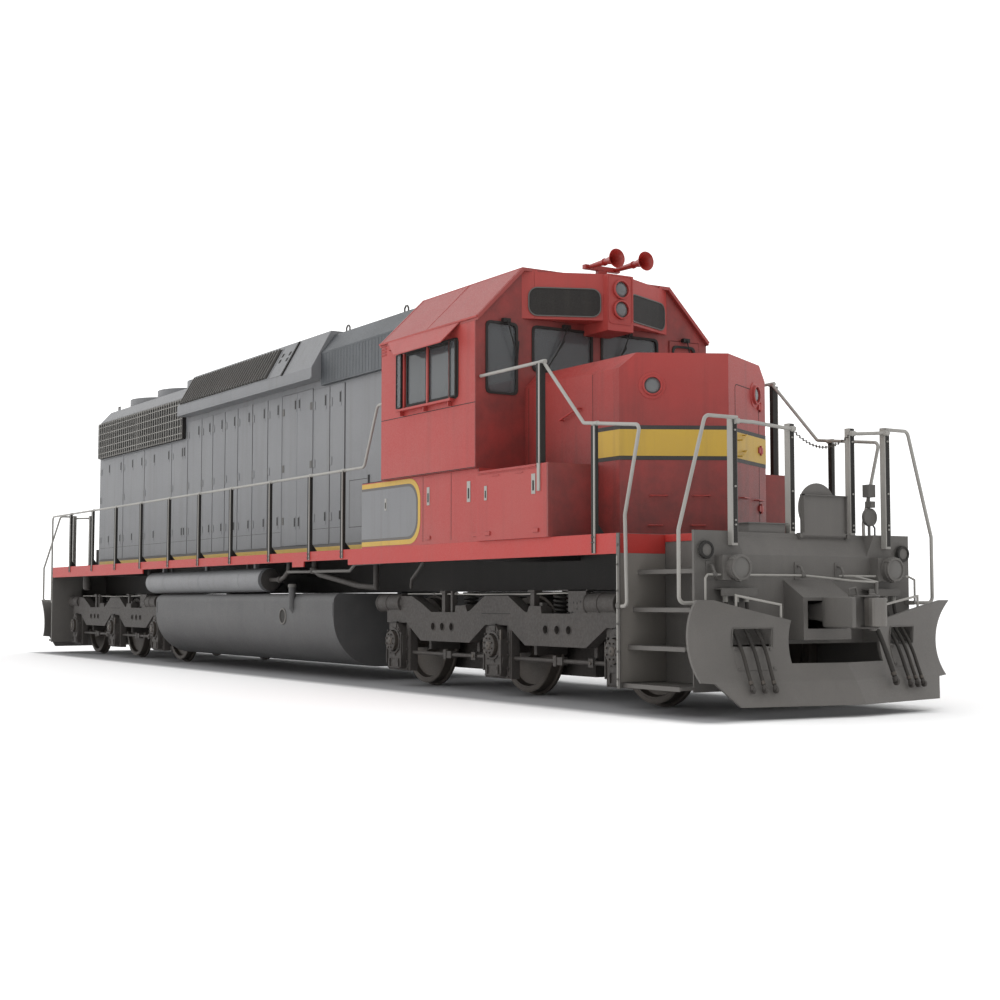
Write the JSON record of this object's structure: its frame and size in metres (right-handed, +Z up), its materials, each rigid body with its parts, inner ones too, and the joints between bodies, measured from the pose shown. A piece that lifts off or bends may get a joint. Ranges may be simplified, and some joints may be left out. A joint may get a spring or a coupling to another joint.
{
  "type": "six-axle diesel road-switcher locomotive",
  "caption": "Diesel road-switcher locomotive with a long hood, side cab, long low nose, plows, two three-axle trucks, fans, doors and couplers that move.",
  "frame": {"origin": "under the middle of the locomotive, at the lowest point of the wheel flanges", "axes": "+X forward along the track, +Y to the left, +Z up"},
  "size_m": [20.98, 3.542, 4.8348],
  "materials": {
    "black_metal": "matt",
    "cast": "rough cast",
    "dark_metal": "dusty matt",
    "galvanised": "dull zinc",
    "glass": "clear dark",
    "grey_paint": "weathered satin",
    "horn_red": "gloss",
    "rail_grey": "satin",
    "red_paint": "weathered satin",
    "rubber_black": "matt",
    "seat_vinyl": "worn vinyl",
    "steel": "worn"
  },
  "bodies": {
    "locomotive": {"air_reservoirs": "dark_metal", "awnings": "red_paint", "battery_boxes": "red_paint", "brake_hose": "rubber_black", "brake_housing": "grey_paint", "cab_base": "red_paint", "cab_glass": "glass", "cab_interior": "seat_vinyl", "cab_roof": "red_paint", "cab_walls": "red_paint", "end_handrails": "rail_grey", "end_platforms": "dark_metal", "engine": "dark_metal", "exhaust_stack": "black_metal", "fan_housings": "grey_paint", "filter_hatch": "galvanised", "fuel_tank": "dark_metal", "hood_panels": "grey_paint", "horns": "horn_red", "hose_couplings": "steel", "hose_left_inner": "rubber_black", "hose_left_middle": "rubber_black", "hose_left_outer": "rubber_black", "hose_right_inner": "rubber_black", "hose_right_middle": "rubber_black", "hose_right_outer": "rubber_black", "long_hood": "grey_paint", "nose": "red_paint", "plows": "dark_metal", "radiator_grilles": "black_metal", "side_handrails": "rail_grey", "sign_box": "red_paint", "underframe": "red_paint"},
    "front_truck": {"front_truck_frame": "cast"},
    "front_wheelset_rear": {"front_truck_wheelset_rear": "steel"},
    "front_wheelset_middle": {"front_truck_wheelset_middle": "steel"},
    "front_wheelset_front": {"front_truck_wheelset_front": "steel"},
    "rear_truck": {"rear_truck_frame": "cast"},
    "rear_wheelset_rear": {"rear_truck_wheelset_rear": "steel"},
    "rear_wheelset_middle": {"rear_truck_wheelset_middle": "steel"},
    "rear_wheelset_front": {"rear_truck_wheelset_front": "steel"},
    "radiator_fan_rear_rotor": {"radiator_fan_rear": "black_metal"},
    "radiator_fan_middle_rotor": {"radiator_fan_middle": "black_metal"},
    "radiator_fan_front_rotor": {"radiator_fan_front": "black_metal"},
    "brake_fan_rear_rotor": {"brake_fan_rear": "black_metal"},
    "brake_fan_front_rotor": {"brake_fan_front": "black_metal"},
    "hood_door_right_rear_leaf": {"hood_door_right_rear": "grey_paint"},
    "hood_door_right_front_leaf": {"hood_door_right_front": "grey_paint"},
    "hood_door_left_rear_leaf": {"hood_door_left_rear": "grey_paint"},
    "hood_door_left_front_leaf": {"hood_door_left_front": "grey_paint"},
    "cab_door_front_leaf": {"cab_door_front": "red_paint"},
    "cab_door_rear_leaf": {"cab_door_rear": "red_paint"},
    "battery_lid_right_leaf": {"battery_lid_right": "red_paint"},
    "battery_lid_left_leaf": {"battery_lid_left": "red_paint"},
    "coupler_front_body": {"coupler_front": "cast"},
    "knuckle_front_body": {"knuckle_front": "cast"},
    "drop_step_front_plate": {"drop_step_front": "dark_metal"},
    "coupler_rear_body": {"coupler_rear": "cast"},
    "knuckle_rear_body": {"knuckle_rear": "cast"},
    "drop_step_rear_plate": {"drop_step_rear": "dark_metal"}
  },
  "joints": [
    {"name": "front_truck_swivel", "type": "hinge", "parent": "locomotive", "child": "front_truck", "pos_m": [6.22, 0, 1.06], "axis": [0, 0, 1], "range_deg": [-2, 2]},
    {"name": "front_wheelset_rear_spin", "type": "hinge", "parent": "front_truck", "child": "front_wheelset_rear", "pos_m": [4.02, 0, 0.536], "axis": [0, 1, 0], "continuous": true},
    {"name": "front_wheelset_middle_spin", "type": "hinge", "parent": "front_truck", "child": "front_wheelset_middle", "pos_m": [6.22, 0, 0.536], "axis": [0, 1, 0], "continuous": true},
    {"name": "front_wheelset_front_spin", "type": "hinge", "parent": "front_truck", "child": "front_wheelset_front", "pos_m": [8.42, 0, 0.536], "axis": [0, 1, 0], "continuous": true},
    {"name": "rear_truck_swivel", "type": "hinge", "parent": "locomotive", "child": "rear_truck", "pos_m": [-6.46, 0, 1.06], "axis": [0, 0, 1], "range_deg": [-2, 2]},
    {"name": "rear_wheelset_rear_spin", "type": "hinge", "parent": "rear_truck", "child": "rear_wheelset_rear", "pos_m": [-8.66, 0, 0.536], "axis": [0, 1, 0], "continuous": true},
    {"name": "rear_wheelset_middle_spin", "type": "hinge", "parent": "rear_truck", "child": "rear_wheelset_middle", "pos_m": [-6.46, 0, 0.536], "axis": [0, 1, 0], "continuous": true},
    {"name": "rear_wheelset_front_spin", "type": "hinge", "parent": "rear_truck", "child": "rear_wheelset_front", "pos_m": [-4.26, 0, 0.536], "axis": [0, 1, 0], "continuous": true},
    {"name": "radiator_fan_rear_spin", "type": "hinge", "parent": "locomotive", "child": "radiator_fan_rear_rotor", "pos_m": [-7.36, 0, 4.6], "axis": [0, 0, 1], "continuous": true},
    {"name": "radiator_fan_middle_spin", "type": "hinge", "parent": "locomotive", "child": "radiator_fan_middle_rotor", "pos_m": [-5.89, 0, 4.6], "axis": [0, 0, 1], "continuous": true},
    {"name": "radiator_fan_front_spin", "type": "hinge", "parent": "locomotive", "child": "radiator_fan_front_rotor", "pos_m": [-4.42, 0, 4.6], "axis": [0, 0, 1], "continuous": true},
    {"name": "brake_fan_rear_spin", "type": "hinge", "parent": "locomotive", "child": "brake_fan_rear_rotor", "pos_m": [-2.1, 0, 4.6], "axis": [0, 0, 1], "continuous": true},
    {"name": "brake_fan_front_spin", "type": "hinge", "parent": "locomotive", "child": "brake_fan_front_rotor", "pos_m": [-0.1, 0, 4.6], "axis": [0, 0, 1], "continuous": true},
    {"name": "hood_door_right_rear_hinge", "type": "hinge", "parent": "locomotive", "child": "hood_door_right_rear_leaf", "pos_m": [0.076, -0.9583, 2.83], "axis": [0, 0, -1], "range_deg": [0, 110]},
    {"name": "hood_door_right_front_hinge", "type": "hinge", "parent": "locomotive", "child": "hood_door_right_front_leaf", "pos_m": [1.096, -0.9583, 2.83], "axis": [0, 0, 1], "range_deg": [0, 110]},
    {"name": "hood_door_left_rear_hinge", "type": "hinge", "parent": "locomotive", "child": "hood_door_left_rear_leaf", "pos_m": [0.076, 0.9583, 2.83], "axis": [0, 0, 1], "range_deg": [0, 110]},
    {"name": "hood_door_left_front_hinge", "type": "hinge", "parent": "locomotive", "child": "hood_door_left_front_leaf", "pos_m": [1.096, 0.9583, 2.83], "axis": [0, 0, -1], "range_deg": [0, 110]},
    {"name": "cab_door_front_hinge", "type": "hinge", "parent": "locomotive", "child": "cab_door_front_leaf", "pos_m": [6.3853, 1.022, 3.2], "axis": [0, 0, -1], "range_deg": [0, 90]},
    {"name": "cab_door_rear_hinge", "type": "hinge", "parent": "locomotive", "child": "cab_door_rear_leaf", "pos_m": [4.2517, -1.022, 3.2], "axis": [0, 0, -1], "range_deg": [0, 90]},
    {"name": "battery_lid_right_hinge", "type": "hinge", "parent": "locomotive", "child": "battery_lid_right_leaf", "pos_m": [6.95, -1.5583, 2.335], "axis": [1, 0, 0], "range_deg": [0, 95]},
    {"name": "battery_lid_left_hinge", "type": "hinge", "parent": "locomotive", "child": "battery_lid_left_leaf", "pos_m": [6.95, 1.5583, 2.335], "axis": [-1, 0, 0], "range_deg": [0, 95]},
    {"name": "coupler_front_swing", "type": "hinge", "parent": "locomotive", "child": "coupler_front_body", "pos_m": [9.1, 0, 0.91], "axis": [0, 0, 1], "range_deg": [-7, 7]},
    {"name": "knuckle_front_hinge", "type": "hinge", "parent": "coupler_front_body", "child": "knuckle_front_body", "pos_m": [10.315, 0.15, 0.91], "axis": [0, 0, 1], "range_deg": [0, 40]},
    {"name": "drop_step_front_hinge", "type": "hinge", "parent": "locomotive", "child": "drop_step_front_plate", "pos_m": [9.5443, 0.31, 1.612], "axis": [0, 1, 0], "range_deg": [0, 88]},
    {"name": "coupler_rear_swing", "type": "hinge", "parent": "locomotive", "child": "coupler_rear_body", "pos_m": [-9.1, 0, 0.91], "axis": [0, 0, 1], "range_deg": [-7, 7]},
    {"name": "knuckle_rear_hinge", "type": "hinge", "parent": "coupler_rear_body", "child": "knuckle_rear_body", "pos_m": [-10.315, -0.15, 0.91], "axis": [0, 0, 1], "range_deg": [0, 40]},
    {"name": "drop_step_rear_hinge", "type": "hinge", "parent": "locomotive", "child": "drop_step_rear_plate", "pos_m": [-9.5443, -0.31, 1.612], "axis": [0, -1, 0], "range_deg": [0, 88]}
  ]
}
